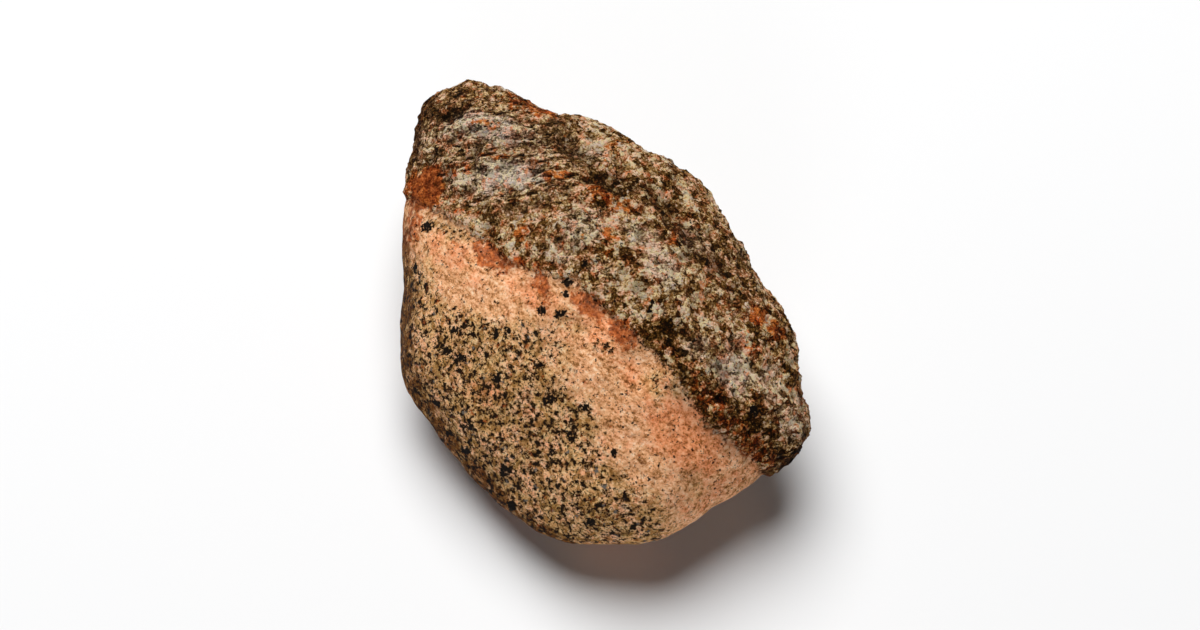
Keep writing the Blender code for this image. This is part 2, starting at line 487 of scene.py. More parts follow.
@dataclass
class StoneSkin:
    """The stone's visible skin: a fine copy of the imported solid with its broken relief.

    The voxel keeps it under 200,000 triangles.
    """

    node: str = "rock"
    name: str = "rock_skin"
    voxel: float = 0.59
    smoothing: int = 9
    weld: float = 0.001
    plane: LayoutPlane = field(default_factory=LayoutPlane)
    layout: StoneLayout = field(default_factory=StoneLayout)
    hidden: HiddenLayout = field(default_factory=HiddenLayout)
    waver: Waver = field(default_factory=Waver)
    relief: Relief = field(default_factory=Relief)

    def merged_copy(self) -> bpy.types.Object:
        """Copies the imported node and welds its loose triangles.

        Returns:
            A new object with one closed mesh.
        """
        mesh = bpy.data.meshes.new(self.name)
        bm = bmesh.new()
        bm.from_mesh(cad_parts[self.node].data)
        bmesh.ops.remove_doubles(bm, verts=bm.verts, dist=self.weld * MM)
        bm.to_mesh(mesh)
        bm.free()
        skin = bpy.data.objects.new(self.name, mesh)
        bpy.context.scene.collection.objects.link(skin)
        return skin

    def refine(self, skin: bpy.types.Object) -> None:
        """Rebuilds the mesh with small even faces.

        Args:
            skin: The object whose mesh is rebuilt.
        """
        remesh = skin.modifiers.new("even_faces", "REMESH")
        remesh.mode = "VOXEL"
        remesh.voxel_size = self.voxel * MM
        graph = bpy.context.evaluated_depsgraph_get()
        fine = bpy.data.meshes.new_from_object(skin.evaluated_get(graph))
        skin.modifiers.clear()
        coarse, skin.data = skin.data, fine
        bpy.data.meshes.remove(coarse)
        fine.name = self.name

    def maps(self, mm: Array, normals: Array) -> dict[Zone, Array]:
        """Works out every zone's map at the given points.

        Args:
            mm: Points in millimetres, one row each.
            normals: The skin's directions at them.

        Returns:
            One array for each zone but the relief height, which paints shade into the hollows.
        """
        layout, hidden, waver = self.layout, self.hidden, self.waver
        u, v = mm[:, 0], mm @ self.plane.rise
        wide_u, wide_v = (noise_field(mm, waver.wide_size, seed) for seed in waver.wide_seeds)
        tight_u, tight_v = (noise_field(mm, waver.tight_size, seed) for seed in waver.tight_seeds)
        bent = (
            u + waver.wide_reach * wide_u + waver.tight_reach * tight_u,
            v + waver.wide_reach * wide_v + waver.tight_reach * tight_v,
        )
        still = u + waver.still_reach * tight_u, v + waver.still_reach * tight_v
        seen = smoothstep(*self.plane.sight, normals @ self.plane.facing)

        def painted(marks: Sequence[Mark], patches: Patches) -> Array:
            """Lays the marks on the seen side and patches of noise on the hidden side.

            Args:
                marks: The marks on the seen side.
                patches: What the hidden side has of them.

            Returns:
                The map's value at each point.
            """
            front = np.max([mark.cover(*bent) for mark in marks], axis=0)
            cloud = noise_field(mm, hidden.patch, patches.seed)
            rear = smoothstep(patches.start, patches.start + hidden.onset, cloud)
            return seen * front + (1 - seen) * rear

        from_strip = np.linalg.norm(mm - np.array(hidden.strip_centre), axis=1)
        into_strip = hidden.strip_reach - from_strip + hidden.strip_waver * wide_u
        strip = smoothstep(0, hidden.strip_fade, into_strip)
        contact = layout.contact.above(*still) * (1 - strip) - hidden.strip_below * strip
        dense = smoothstep(*layout.speckle_onset, layout.speckle_edge.above(*bent))
        for mark in layout.sparse:
            dense = dense * (1 - mark.cover(*bent))
        clots = np.max([mark.cover(*still) for mark in layout.clots], axis=0)
        # Painted shade on skin that faces down, left and forward, frayed by the two noises.
        wide_share, tight_share = layout.shade_waver
        lean = normals @ np.array(layout.shade_facing) + wide_share * wide_u + tight_share * tight_u
        turned_away_shade = smoothstep(*layout.shade_onset, lean)
        return {
            Zone.CONTACT: contact,
            Zone.RUST: painted(layout.rust, hidden.rust),
            Zone.QUARTZ: painted(layout.quartz, hidden.quartz),
            Zone.DARK: painted(layout.dark, hidden.dark),
            Zone.SPECKLE: np.maximum(painted(layout.speckle, hidden.speckle), seen * dense),
            Zone.BLUSH: painted(layout.blush, hidden.blush),
            Zone.FOLIAGE: painted(layout.foliage, hidden.foliage),
            Zone.CLOT: clots * seen,
            # Painted shade: the turned-away skin and the rims.
            Zone.RIM_SHADE: np.max([turned_away_shade, *(rim.cover(*still) for rim in layout.shaded_rims)], axis=0),
        }

    def heights(self, mm: Array, zones: dict[Zone, Array]) -> Array:
        """Works out how far the broken skin stands out.

        Args:
            mm: Points in millimetres, one row each.
            zones: The maps at those points.

        Returns:
            Millimetres outwards at each point.
        """
        shape = self.relief
        contact = zones[Zone.CONTACT]
        gneiss = smoothstep(*shape.change, contact)
        rough = smooth = 0.0
        for i, (size, height) in enumerate(shape.gneiss):
            lumps = noise_field(mm, size, shape.gneiss_seed + i * shape.seed_step)
            rough = rough + height * (shape.ridge_top - shape.ridge_fall * np.abs(lumps))
        for i, (size, height) in enumerate(shape.granite):
            lumps = noise_field(mm, size, shape.granite_seed + i * shape.seed_step)
            smooth = smooth + height * lumps
        drawn_out = mm * np.array((shape.foliage_stretch, 1.0, 1.0))
        leaves = noise_field(drawn_out, shape.foliage_size, shape.foliage_seed)
        rough = rough + zones[Zone.FOLIAGE] * (shape.foliage_height * leaves)
        u, v = mm[:, 0], mm @ self.plane.rise
        top = smoothstep(*shape.marks_above, mm[:, 2])
        marks = top * (shape.rib.cover(u, v) - shape.crease.cover(u, v))
        beside = smoothstep(shape.ledge_reach, 0.0, np.abs(contact))
        ledge = shape.ledge * beside * (smoothstep(*shape.ledge_rise, contact) - 0.5)
        return gneiss * rough + (1 - gneiss) * smooth + ledge + marks

    def break_surface(self, skin: bpy.types.Object) -> None:
        """Smooths the solid's facets away, then raises the relief and paints the maps.

        Args:
            skin: The object to finish.
        """
        bm = bmesh.new()
        bm.from_mesh(skin.data)
        for _ in range(self.smoothing):
            bmesh.ops.smooth_vert(
                bm, verts=bm.verts, factor=0.5, use_axis_x=True, use_axis_y=True, use_axis_z=True
            )
        bm.normal_update()
        mm = np.array([v.co for v in bm.verts]) / MM
        normals = np.array([v.normal for v in bm.verts])
        zones = self.maps(mm, normals)
        height = self.heights(mm, zones)
        bed_share = self.relief.bed_share
        share = bed_share + (1 - bed_share) * smoothstep(0, self.relief.bed_fade, mm[:, 2])
        moved = mm + normals * (height * share)[:, None]
        moved[:, 2] = np.maximum(moved[:, 2], 0.0)
        for vert, place in zip(bm.verts, moved * MM):
            vert.co = place
        bm.to_mesh(skin.data)
        bm.free()
        # The relief's height is kept as the map that paints shade into the hollows.
        for zone, values in {**zones, Zone.RELIEF_SHADE: height}.items():
            attribute = skin.data.attributes.new(zone.value, "FLOAT", "POINT")
            attribute.data.foreach_set("value", values.astype(np.float32))
        skin.data.shade_smooth()

    def build(self) -> bpy.types.Object:
        """Makes the skin and hands it to the frame.

        Returns:
            The finished object, still without a material.
        """
        skin = self.merged_copy()
        self.refine(skin)
        self.break_surface(skin)
        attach(skin, "root")
        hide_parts(self.node)
        log.info("%s: %d faces", skin.name, len(skin.data.polygons))
        return skin


# Brings a cloud's factor, which is about 0.5 in the middle, to about 0 there.
CENTRED = -0.5


@dataclass(frozen=True)
class Cloud:
    """A soft noise: its lumps' size, its octaves, and how strong each finer one is.

    The size is in the unit of the place where it is read. The shift is added to its factor.
    """

    size: float
    detail: float
    roughness: float
    shift: float = 0.0


@dataclass(frozen=True)
class Crystals:
    """Crystals: their size in millimetres and how ragged their edges are."""

    size: float
    ragged: float


@dataclass(frozen=True)
class Fray:
    """How a map's edge is frayed: by which cloud, how far, and where the result is 0 and 1."""

    cloud: Cloud
    reach: float
    onset: Span


@dataclass
class NodeBench:
    """Short ways to add and join nodes in one node tree."""

    tree: bpy.types.NodeTree

    def add(self, kind: str, **settings: object) -> bpy.types.Node:
        """Adds a node and sets its properties.

        Args:
            kind: The node's type, without its ShaderNode beginning.
            settings: Property values.

        Returns:
            The new node.
        """
        node = self.tree.nodes.new("ShaderNode" + kind)
        for name, value in settings.items():
            setattr(node, name, value)
        return node

    def feed(self, socket: bpy.types.NodeSocket, value: object) -> None:
        """Links a socket, or sets its value.

        Args:
            socket: The input.
            value: An output socket, or a plain value.
        """
        if isinstance(value, bpy.types.NodeSocket):
            self.tree.links.new(value, socket)
        else:
            socket.default_value = value

    def math(self, operation: str, *values: object, clamp: bool = False) -> bpy.types.NodeSocket:
        """Adds a Math node.

        Args:
            operation: What it does.
            values: Its inputs in order.
            clamp: Whether the result stays from 0 to 1.

        Returns:
            Its output.
        """
        node = self.add("Math", operation=operation, use_clamp=clamp)
        for socket, value in zip(node.inputs, values):
            self.feed(socket, value)
        return node.outputs[0]

    def nudge(self, total: object, value: object, weight: float) -> bpy.types.NodeSocket:
        """Adds a weighted value to a total.

        Args:
            total: The total so far.
            value: What is added.
            weight: What it is multiplied by first.

        Returns:
            The new total.
        """
        return self.math("MULTIPLY_ADD", value, weight, total)

    def total(self, start: object, *terms: tuple[object, float]) -> bpy.types.NodeSocket:
        """Adds weighted values up.

        Args:
            start: What the total is before them.
            terms: Each value and what it is multiplied by.

        Returns:
            The total.
        """
        for value, weight in terms:
            start = self.nudge(start, value, weight)
        return start

    def between(self, value: object, ends: Span) -> bpy.types.NodeSocket:
        """Goes from the first end, where the value is 0, to the second, where it is 1.

        Args:
            value: What is followed.
            ends: The two ends.

        Returns:
            The number between them.
        """
        first, second = ends
        return self.nudge(first, value, second - first)

    def ease(self, value: object, low: float, high: float) -> bpy.types.NodeSocket:
        """Adds a smooth Map Range from 0 at low to 1 at high.

        Args:
            value: What is mapped.
            low: Where the result is 0.
            high: Where the result is 1.

        Returns:
            Its output.
        """
        node = self.add("MapRange", interpolation_type="SMOOTHSTEP")
        self.feed(node.inputs["Value"], value)
        self.feed(node.inputs["From Min"], low)
        self.feed(node.inputs["From Max"], high)
        return node.outputs["Result"]

    def scaled(self, vector: object, scale: object) -> bpy.types.NodeSocket:
        """Multiplies a vector.

        Args:
            vector: The vector.
            scale: The number it is multiplied by.

        Returns:
            The longer or shorter vector.
        """
        node = self.add("VectorMath", operation="SCALE")
        self.feed(node.inputs[0], vector)
        self.feed(node.inputs["Scale"], scale)
        return node.outputs[0]

    def noise(self, point: object, cloud: Cloud) -> bpy.types.Node:
        """Adds a Noise Texture.

        Args:
            point: Where it is read.
            cloud: Its size, octaves and roughness.

        Returns:
            The node.
        """
        node = self.add("TexNoise")
        self.feed(node.inputs["Vector"], point)
        self.feed(node.inputs["Scale"], 1 / cloud.size)
        self.feed(node.inputs["Detail"], cloud.detail)
        self.feed(node.inputs["Roughness"], cloud.roughness)
        return node

    def cloud(self, point: object, cloud: Cloud) -> bpy.types.NodeSocket:
        """Adds a cloud and shifts its factor.

        Args:
            point: Where it is read.
            cloud: What it is like.

        Returns:
            Its shifted factor.
        """
        factor = self.noise(point, cloud).outputs["Fac"]
        return self.math("ADD", factor, cloud.shift) if cloud.shift else factor

    def mix(
        self, share: object, first: object, second: object, blend: str = "MIX"
    ) -> bpy.types.NodeSocket:
        """Mixes two colours.

        Args:
            share: How much of the second shows.
            first: The first colour.
            second: The second colour.
            blend: How they are blended.

        Returns:
            The mixed colour.
        """
        # The node's colour inputs are its seventh and eighth, and its colour output is its third.
        node = self.add("Mix", data_type="RGBA", blend_type=blend, clamp_factor=True)
        self.feed(node.inputs[0], share)
        self.feed(node.inputs[6], first)
        self.feed(node.inputs[7], second)
        return node.outputs[2]

    def blend(self, share: object, first: object, second: object) -> bpy.types.NodeSocket:
        """Mixes two numbers.

        Args:
            share: How much of the second shows.
            first: The first number.
            second: The second number.

        Returns:
            The mixed number.
        """
        node = self.add("Mix", data_type="FLOAT", clamp_factor=True)
        self.feed(node.inputs[0], share)
        self.feed(node.inputs[2], first)
        self.feed(node.inputs[3], second)
        return node.outputs[0]

    def ramp(self, value: object, stops: Sequence[tuple[float, Colour]]) -> bpy.types.NodeSocket:
        """Adds a Color Ramp.

        Args:
            value: Where the ramp is read.
            stops: Places from 0 to 1 and their colours.

        Returns:
            Its colour.
        """
        node = self.add("ValToRGB")
        elements = node.color_ramp.elements
        while len(elements) < len(stops):
            elements.new(0.5)
        for element, (place, colour) in zip(elements, stops):
            element.position = place
            element.color = colour
        self.feed(node.inputs["Fac"], value)
        return node.outputs["Color"]

    def zone(self, zone: Zone) -> bpy.types.NodeSocket:
        """Reads one of the painted maps.

        Args:
            zone: Which map.

        Returns:
            Its value.
        """
        return self.add("Attribute", attribute_name=zone.value).outputs["Fac"]

    def frayed(self, point: object, zone: Zone, fray: Fray) -> bpy.types.NodeSocket:
        """Reads one of the painted maps and frays its edge.

        Args:
            point: The place in millimetres.
            zone: Which map.
            fray: How its edge is frayed.

        Returns:
            From 0 off the mark to 1 on it.
        """
        edge = self.cloud(point, fray.cloud)
        return self.ease(self.nudge(self.zone(zone), edge, fray.reach), *fray.onset)


@dataclass(frozen=True)
class Socket:
    """A named input or output of a shader node group."""

    name: str
    default: float | None = None
    kind: str = "NodeSocketFloat"


POINT = Socket("Point", kind="NodeSocketVector")


class StoneEffects:
    """The shader node groups that the stone's finishes share.

    Their sizes and spans are in crystals or specks, as each group divides the place by its size.
    """

    WANDER: ClassVar[Cloud] = Cloud(1 / 1.7, 3.0, 0.65)
    SEAM: ClassVar[Span] = (0.16, 0.0)
    HEIGHT: ClassVar[Span] = (0.0, 0.35)
    SPECK_CLOUD: ClassVar[Cloud] = Cloud(1.5, 4.0, 0.6)
    SPECK_CRYSTALS: ClassVar[Crystals] = Crystals(0.85, 0.9)
    SPECK_RAGGED: ClassVar[float] = 0.16
    SPECK_LIMIT: ClassVar[Span] = (0.74, 0.54)
    SPECK_SLOPE: ClassVar[float] = 10.0

    def __init__(self) -> None:
        """Builds each group once."""
        self.grain = self.grain_group()
        self.specks = self.specks_group()

    @staticmethod
    def start(name: str, inputs: Sequence[Socket], outputs: Sequence[Socket]) -> NodeBench:
        """Makes an empty group with its sockets.

        Args:
            name: The group's name.
            inputs: Its inputs.
            outputs: Its outputs.

        Returns:
            A bench on the group's tree.
        """
        tree = bpy.data.node_groups.new(name, "ShaderNodeTree")
        for sockets, side in ((inputs, "INPUT"), (outputs, "OUTPUT")):
            for socket in sockets:
                made = tree.interface.new_socket(socket.name, in_out=side, socket_type=socket.kind)
                if socket.default is not None:
                    made.default_value = socket.default
        return NodeBench(tree)

    def grain_group(self) -> bpy.types.NodeTree:
        """Makes crystals: a random shade and hue for each, the seams between them, their height.

        Returns:
            The group.
        """
        bench = self.start(
            "crystal_grain",
            (POINT, Socket("Size", 1.0), Socket("Ragged", 0.5)),
            (Socket("Shade"), Socket("Hue"), Socket("Seam"), Socket("Height")),
        )
        given = bench.tree.nodes.new("NodeGroupInput")
        result = bench.tree.nodes.new("NodeGroupOutput")
        point = bench.scaled(given.outputs["Point"], bench.math("DIVIDE", 1.0, given.outputs["Size"]))
        centred = bench.add("VectorMath", operation="SUBTRACT")
        bench.feed(centred.inputs[0], bench.noise(point, self.WANDER).outputs["Color"])
        bench.feed(centred.inputs[1], (0.5, 0.5, 0.5))
        moved = bench.add("VectorMath", operation="ADD")
        bench.feed(moved.inputs[0], bench.scaled(centred.outputs[0], given.outputs["Ragged"]))
        bench.feed(moved.inputs[1], point)
        cells = bench.add("TexVoronoi", feature="F1")
        edges = bench.add("TexVoronoi", feature="DISTANCE_TO_EDGE")
        for node in (cells, edges):
            bench.feed(node.inputs["Vector"], moved.outputs[0])
            bench.feed(node.inputs["Scale"], 1.0)
        shades = bench.add("SeparateColor")
        bench.feed(shades.inputs[0], cells.outputs["Color"])
        bench.feed(result.inputs["Shade"], shades.outputs[0])
        bench.feed(result.inputs["Hue"], shades.outputs[1])
        bench.feed(result.inputs["Seam"], bench.ease(edges.outputs["Distance"], *self.SEAM))
        bench.feed(result.inputs["Height"], bench.ease(edges.outputs["Distance"], *self.HEIGHT))
        return bench.tree

    def specks_group(self) -> bpy.types.NodeTree:
        """Makes ragged specks: how deep a place lies inside a speck, which is below 0 outside.

        Returns:
            The group.
        """
        bench = self.start(
            "mica_specks",
            (POINT, Socket("Size", 1.0), Socket("Cover", 0.5)),
            (Socket("Depth"),),
        )
        given = bench.tree.nodes.new("NodeGroupInput")
        result = bench.tree.nodes.new("NodeGroupOutput")
        point = bench.scaled(given.outputs["Point"], bench.math("DIVIDE", 1.0, given.outputs["Size"]))
        shade = self.place_grain(bench, point, self.SPECK_CRYSTALS).outputs["Shade"]
        centred = bench.math("SUBTRACT", shade, 0.5)
        body = bench.nudge(bench.cloud(point, self.SPECK_CLOUD), centred, self.SPECK_RAGGED)
        limit = bench.between(given.outputs["Cover"], self.SPECK_LIMIT)
        depth = bench.math("MULTIPLY", bench.math("SUBTRACT", body, limit), self.SPECK_SLOPE)
        bench.feed(result.inputs["Depth"], depth)
        return bench.tree

    def place_grain(self, bench: NodeBench, point: object, crystals: Crystals) -> bpy.types.Node:
        """Places the crystal group.

        Args:
            bench: The bench on the tree that it goes in.
            point: Where it is read.
            crystals: Its size and raggedness.

        Returns:
            The group's node.
        """
        node = bench.add("Group", node_tree=self.grain)
        bench.feed(node.inputs["Point"], point)
        bench.feed(node.inputs["Size"], crystals.size)
        bench.feed(node.inputs["Ragged"], crystals.ragged)
        return node

    def place_specks(
        self, bench: NodeBench, point: object, size: float, cover: object
    ) -> bpy.types.NodeSocket:
        """Places the speck group.

        Args:
            bench: The bench on the tree that it goes in.
            point: Where it is read.
            size: Size of a speck.
            cover: How thick the specks lie, from 0 to 1.

        Returns:
            How deep the place lies inside a speck.
        """
        node = bench.add("Group", node_tree=self.specks)
        bench.feed(node.inputs["Point"], point)
        bench.feed(node.inputs["Size"], size)
        bench.feed(node.inputs["Cover"], cover)
        return node.outputs["Depth"]


@dataclass(frozen=True)
class GneissFinish:
    """Colours of the dark banded stone, from black mica to white quartz.

    A share says how far a pattern moves a place along the stops, and a hue how far along the tints.
    """

    stops: tuple[tuple[float, Colour], ...] = (
        (0.06, srgb(22, 13, 3)),
        (0.22, srgb(60, 38, 8)),
        (0.36, srgb(101, 70, 29)),
        (0.50, srgb(146, 110, 64)),
        (0.61, srgb(196, 158, 114)),
        (0.72, srgb(240, 206, 164)),
        (0.84, srgb(255, 246, 226)),
    )
    tints: tuple[tuple[float, Colour], ...] = (
        (0.16, srgb(230, 214, 212)),
        (0.31, srgb(232, 220, 194)),
        (0.43, srgb(255, 236, 184)),
        (0.55, srgb(255, 234, 216)),
        (0.70, srgb(255, 212, 190)),
        (0.86, srgb(244, 158, 96)),
    )
    tint_strength: float = 0.9
    foliage_grey: float = 0.14
    quartz_grey: float = 0.45
    coarse: Crystals = Crystals(1.5, 1.1)
    fine: Crystals = Crystals(0.6, 0.9)
    leaf: Crystals = Crystals(0.85, 0.9)
    leaf_bands: Cloud = Cloud(2.0, 4.0, 0.6)
    leaf_turn: float = math.radians(4)
    leaf_stretch: float = 3.6
    bands: Cloud = Cloud(3.0, 4.0, 0.62)
    band_turn: float = math.radians(-42)
    band_stretch: float = 1.7
    grit: Cloud = Cloud(0.5, 4.0, 0.75, CENTRED)
    start: float = -0.40
    grain_share: float = 0.62
    fine_share: float = 0.34
    band_share: float = 1.1
    grit_share: float = 1.7
    quartz_share: float = 0.17
    dark_share: float = -0.19
    foliage_share: float = -0.07
    # Painted light on the relief's tops and painted shade in its hollows.
    relief_shade_share: float = 0.05
    seam_share: float = -0.13
    hue_cloud: Cloud = Cloud(3.0, 3.0, 0.6)
    hue_start: float = -0.24
    grain_hue: float = 0.50
    fine_hue: float = 0.26
    cloud_hue: float = 0.75


@dataclass(frozen=True)
class GraniteFinish:
    """Colours of the pink stone and of the specks in it.

    A share says how far a pattern moves a place along the stops. Where it is a pair, the first goes
    with bare stone and the second with dense specks.
    """

    stops: tuple[tuple[float, Colour], ...] = (
        (0.14, srgb(112, 70, 36)),
        (0.30, srgb(170, 114, 68)),
        (0.44, srgb(222, 156, 108)),
        (0.60, srgb(243, 184, 138)),
        (0.84, srgb(253, 217, 180)),
    )
    blush: Colour = srgb(255, 222, 206)
    tan: Colour = srgb(236, 252, 226)
    olive: Colour = srgb(146, 112, 66)
    specks: tuple[tuple[float, Colour], ...] = (
        (0.0, srgb(112, 76, 38)),
        (0.40, srgb(62, 40, 18)),
        (0.85, srgb(26, 16, 8)),
    )
    steel: Colour = srgb(104, 96, 88)
    smoke: Colour = srgb(196, 182, 154)
    coarse: Crystals = Crystals(1.2, 1.1)
    fine: Crystals = Crystals(0.5, 0.9)
    grit: Cloud = Cloud(0.7, 5.0, 0.75, CENTRED)
    drift: Cloud = Cloud(4.5, 4.0, 0.6, CENTRED)
    streaks: Cloud = Cloud(1.3, 4.0, 0.68, CENTRED)
    streak_turn: float = math.radians(-40)
    streak_stretch: float = 2.6
    start: float = 0.40
    grain_share: float = 0.10
    fine_share: float = 0.14
    speckle_share: float = 0.05
    grit_share: float = 1.35
    drift_share: float = 0.5
    streak_share: Span = (1.3, 0.4)
    blush_drift: float = 2.5
    tan_onset: Span = (0.16, -0.14)
    tan_strength: Span = (0.15, 0.90)
    smoke_onset: Span = (0.70, 0.80)
    large_speck: float = 0.95
    small_speck: float = 0.42
    small_cover: Span = (0.25, 0.85)
    small_sunk: float = 0.1
    halo_onset: Span = (-1.1, 0.1)
    halo_strength: Span = (0.15, 0.45)
    mica_onset: Span = (-0.15, 0.3)
    steel_cloud: Cloud = Cloud(2.0, 1.0, 0.5)
    steel_onset: Span = (0.66, 0.72)


@dataclass(frozen=True)
class RustFinish:
    """Colours of the iron stains."""

    stops: tuple[tuple[float, Colour], ...] = (
        (0.34, srgb(84, 32, 10)),
        (0.50, srgb(168, 78, 34)),
        (0.64, srgb(226, 128, 68)),
    )
    wash: Colour = srgb(242, 164, 102)
    flecks: Cloud = Cloud(1.0, 5.0, 0.7)
    wisps: Cloud = Cloud(1.7, 5.0, 0.7, CENTRED)
    wisp_reach: float = 4.0
    wash_onset: Span = (0.25, 0.75)
    gneiss_onset: Span = (0.7, 1.4)
    gneiss_strength: float = 0.7
    granite_onset: Span = (0.3, 0.9)
    granite_strength: float = 0.9


@dataclass(frozen=True)
class SurfaceFinish:
    """Shared by both stones: frayed edges, clots, painted shade at rims and hollows, gloss and bumps."""

    contact_edge: Fray = Fray(Cloud(1.1, 5.0, 0.68, CENTRED), 8.0, (-0.3, 0.3))
    clot: Colour = srgb(22, 15, 9)
    clot_edge: Fray = Fray(Cloud(0.9, 4.0, 0.65, CENTRED), 4.5, (0.42, 0.62))
    # Colour of the painted shade on the rims and the turned-away skin, and how its edge is frayed.
    rim_shade: Colour = srgb(140, 118, 90)
    rim_shade_edge: Fray = Fray(Cloud(2.6, 5.0, 0.72, CENTRED), 4.5, (0.25, 1.1))
    # Painted shade in the relief's hollows: its colour, where it sets in and how strong it is.
    relief_shade: Colour = srgb(34, 22, 12)
    relief_shade_onset: Span = (0.1, -1.0)
    relief_shade_strength: float = 0.5
    stone_roughness: float = 0.85
    mica_roughness: float = 0.65
    specular: float = 0.04
    grit: Cloud = Cloud(0.55, 4.0, 0.7)
    gneiss_grit: float = 1.4
    gneiss_grain: float = 0.3
    granite_grit: float = 0.28
    mica_height: float = -0.06


@dataclass
class StoneMaterial:
    """The stone's one material: gneiss, granite and rust laid over each other by the maps."""

    effects: StoneEffects
    gneiss: GneissFinish = field(default_factory=GneissFinish)
    granite: GraniteFinish = field(default_factory=GraniteFinish)
    rust: RustFinish = field(default_factory=RustFinish)
    surface: SurfaceFinish = field(default_factory=SurfaceFinish)

    @staticmethod
    def drawn_out(
        bench: NodeBench, point: object, turn: float, stretch: float
    ) -> bpy.types.NodeSocket:
        """Draws a pattern out along one direction.

        Args:
            bench: The material's bench.
            point: The place in millimetres.
            turn: The direction's angle from +X.
            stretch: How many times as long the pattern becomes.

        Returns:
            The place to read the pattern at.
        """
        mapping = bench.add("Mapping", vector_type="TEXTURE")
        bench.feed(mapping.inputs["Vector"], point)
        bench.feed(mapping.inputs["Rotation"], (0.0, 0.0, turn))
        bench.feed(mapping.inputs["Scale"], (stretch, 1.0, 1.0))
        return mapping.outputs[0]

    def gneiss_colour(
        self, bench: NodeBench, point: object
    ) -> tuple[bpy.types.NodeSocket, bpy.types.NodeSocket]:
        """Colours the gneiss grain by grain.

        Args:
            bench: The material's bench.
            point: The place in millimetres.

        Returns:
            The colour and the grain's height from 0 to 1.
        """
        finish = self.gneiss
        along = self.drawn_out(bench, point, finish.leaf_turn, finish.leaf_stretch)
        banded = self.drawn_out(bench, point, finish.band_turn, finish.band_stretch)
        coarse = self.effects.place_grain(bench, point, finish.coarse)
        fine = self.effects.place_grain(bench, point, finish.fine)
        leaf = self.effects.place_grain(bench, along, finish.leaf)
        foliage = bench.zone(Zone.FOLIAGE)
        quartz = bench.zone(Zone.QUARTZ)
        shade = bench.blend(foliage, coarse.outputs["Shade"], leaf.outputs["Shade"])
        height = bench.blend(foliage, coarse.outputs["Height"], leaf.outputs["Height"])
        plain_bands = bench.cloud(banded, finish.bands)
        leaf_bands = bench.cloud(along, finish.leaf_bands)
        kind = bench.total(
            finish.start,
            (shade, finish.grain_share),
            (fine.outputs["Shade"], finish.fine_share),
            (bench.blend(foliage, plain_bands, leaf_bands), finish.band_share),
            (bench.cloud(point, finish.grit), finish.grit_share),
            (quartz, finish.quartz_share),
            (bench.zone(Zone.DARK), finish.dark_share),
            (foliage, finish.foliage_share),
            # Painted light and shade by the relief's height.
            (bench.zone(Zone.RELIEF_SHADE), finish.relief_shade_share),
            (coarse.outputs["Seam"], finish.seam_share),
        )
        greyed = bench.add("HueSaturation")
        bench.feed(greyed.inputs["Color"], bench.ramp(kind, finish.stops))
        colourful = bench.total(1.0, (foliage, -finish.foliage_grey), (quartz, -finish.quartz_grey))
        bench.feed(greyed.inputs["Saturation"], colourful)
        hue = bench.total(
            finish.hue_start,
            (coarse.outputs["Hue"], finish.grain_hue),
            (fine.outputs["Hue"], finish.fine_hue),
            (bench.cloud(point, finish.hue_cloud), finish.cloud_hue),
        )
        tint = bench.ramp(hue, finish.tints)
        return bench.mix(finish.tint_strength, greyed.outputs["Color"], tint, "MULTIPLY"), height

    def granite_colour(
        self, bench: NodeBench, point: object
    ) -> tuple[bpy.types.NodeSocket, bpy.types.NodeSocket]:
        """Colours the pink granite and its specks.

        Args:
            bench: The material's bench.
            point: The place in millimetres.

        Returns:
            The colour and how much of the place is mica.
        """
        finish = self.granite
        speckle = bench.zone(Zone.SPECKLE)
        along = self.drawn_out(bench, point, finish.streak_turn, finish.streak_stretch)
        coarse = self.effects.place_grain(bench, point, finish.coarse)
        fine = self.effects.place_grain(bench, point, finish.fine)
        drift = bench.cloud(point, finish.drift)
        streak_share = bench.between(speckle, finish.streak_share)
        streaks = bench.math("MULTIPLY", bench.cloud(along, finish.streaks), streak_share)
        tone = bench.total(
            finish.start,
            (coarse.outputs["Shade"], finish.grain_share),
            (fine.outputs["Shade"], finish.fine_share),
            (speckle, finish.speckle_share),
            (bench.cloud(point, finish.grit), finish.grit_share),
            (drift, finish.drift_share),
            (streaks, 1.0),
        )
        colour = bench.ramp(tone, finish.stops)
        blush = bench.nudge(bench.zone(Zone.BLUSH), drift, finish.blush_drift)
        colour = bench.mix(bench.ease(blush, 0.0, 1.0), colour, finish.blush, "MULTIPLY")
        tan_strength = bench.between(speckle, finish.tan_strength)
        tan = bench.math("MULTIPLY", bench.ease(drift, *finish.tan_onset), tan_strength)
        colour = bench.mix(tan, colour, finish.tan, "MULTIPLY")
        smoky = bench.ease(coarse.outputs["Hue"], *finish.smoke_onset)
        colour = bench.mix(bench.math("MULTIPLY", smoky, speckle), colour, finish.smoke, "MULTIPLY")
        large = self.effects.place_specks(bench, point, finish.large_speck, speckle)
        small_cover = bench.between(speckle, finish.small_cover)
        small = self.effects.place_specks(bench, point, finish.small_speck, small_cover)
        depth = bench.math("MAXIMUM", large, bench.math("SUBTRACT", small, finish.small_sunk))
        halo_strength = bench.between(speckle, finish.halo_strength)
        halo = bench.math("MULTIPLY", bench.ease(depth, *finish.halo_onset), halo_strength)
        colour = bench.mix(halo, colour, finish.olive)
        mica = bench.ease(depth, *finish.mica_onset)
        steel = bench.ease(bench.cloud(point, finish.steel_cloud), *finish.steel_onset)
        dark = bench.mix(steel, bench.ramp(depth, finish.specks), finish.steel)
        return bench.mix(mica, colour, dark), mica

